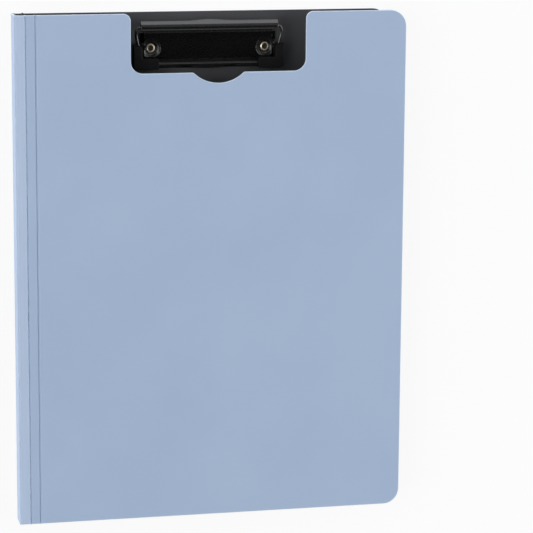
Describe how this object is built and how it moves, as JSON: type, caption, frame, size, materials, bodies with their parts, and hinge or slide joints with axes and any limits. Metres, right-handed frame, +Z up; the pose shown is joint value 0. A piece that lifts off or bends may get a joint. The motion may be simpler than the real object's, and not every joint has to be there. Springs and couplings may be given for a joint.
{
  "type": "clipboard folder",
  "caption": "Closed two-cover clipboard folder with a creased spine, a low spring clip inside each cover and a window over the top clip.",
  "frame": {"origin": "under the middle of the closed folder, on the plane that its back cover lies on", "axes": "+X from the spine to the free edge, +Y up the page to the top clip, +Z up out of the front cover"},
  "size_m": [0.2426, 0.315, 0.014],
  "materials": {
    "cover_blue": "fine grained",
    "lining_grey": "matte",
    "clip_steel": "satin black",
    "clip_wire": "gloss black",
    "grip_rubber": "matte black",
    "rivet_brass": "polished"
  },
  "bodies": {
    "back_cover": {"back_cover_skin": "cover_blue", "back_cover_lining": "lining_grey", "back_cover_crease": "cover_blue", "top_clip_base_plate": "clip_steel", "top_clip_rivets": "rivet_brass"},
    "back_hinge_strip": {"back_hinge_strip_skin": "cover_blue", "back_hinge_strip_lining": "lining_grey", "spine_back_crease": "cover_blue"},
    "spine": {"spine_skin": "cover_blue", "spine_lining": "lining_grey", "spine_front_crease": "cover_blue"},
    "front_inner_strip": {"front_inner_strip_skin": "cover_blue", "front_inner_strip_lining": "lining_grey", "front_inner_crease": "cover_blue"},
    "front_outer_strip": {"front_outer_strip_skin": "cover_blue", "front_outer_strip_lining": "lining_grey", "front_outer_crease": "cover_blue"},
    "front_cover": {"front_cover_skin": "cover_blue", "front_cover_lining": "lining_grey", "side_clip_base_plate": "clip_steel", "side_clip_rivets": "rivet_brass"},
    "top_clip_rocker": {"top_clip_lever_bar": "clip_steel", "top_clip_spring_bail": "clip_wire", "top_clip_jaw_plate": "clip_steel", "top_clip_corner_grip_left": "grip_rubber", "top_clip_corner_grip_right": "grip_rubber"},
    "side_clip_rocker": {"side_clip_lever_bar": "clip_steel", "side_clip_spring_bail": "clip_wire", "side_clip_jaw_plate": "clip_steel", "side_clip_corner_grip_left": "grip_rubber", "side_clip_corner_grip_right": "grip_rubber"}
  },
  "joints": [
    {"name": "back_crease_fold", "type": "hinge", "parent": "back_cover", "child": "back_hinge_strip", "pos_m": [-0.11445, 0, 0.001], "axis": [0, -1, 0], "range_deg": [0, 30]},
    {"name": "spine_back_fold", "type": "hinge", "parent": "back_hinge_strip", "child": "spine", "pos_m": [-0.12025, 0, 0.001], "axis": [0, -1, 0], "range_deg": [0, 150]},
    {"name": "spine_front_fold", "type": "hinge", "parent": "spine", "child": "front_inner_strip", "pos_m": [-0.12025, 0, 0.013], "axis": [0, -1, 0], "range_deg": [0, 120]},
    {"name": "front_inner_fold", "type": "hinge", "parent": "front_inner_strip", "child": "front_outer_strip", "pos_m": [-0.11445, 0, 0.013], "axis": [0, -1, 0], "range_deg": [0, 30]},
    {"name": "front_outer_fold", "type": "hinge", "parent": "front_outer_strip", "child": "front_cover", "pos_m": [-0.10855, 0, 0.013], "axis": [0, -1, 0], "range_deg": [0, 30]},
    {"name": "top_clip_rock", "type": "hinge", "parent": "back_cover", "child": "top_clip_rocker", "pos_m": [-0.00125, 0.1369, 0.006], "axis": [-1, 0, 0], "range_deg": [0, 16], "stiffness_Nm_per_rad": 0.3, "springref_deg": -17.19},
    {"name": "side_clip_rock", "type": "hinge", "parent": "front_cover", "child": "side_clip_rocker", "pos_m": [0.09565, -0.0017, 0.008], "axis": [0, -1, 0], "range_deg": [0, 16], "stiffness_Nm_per_rad": 0.3, "springref_deg": -17.19}
  ]
}
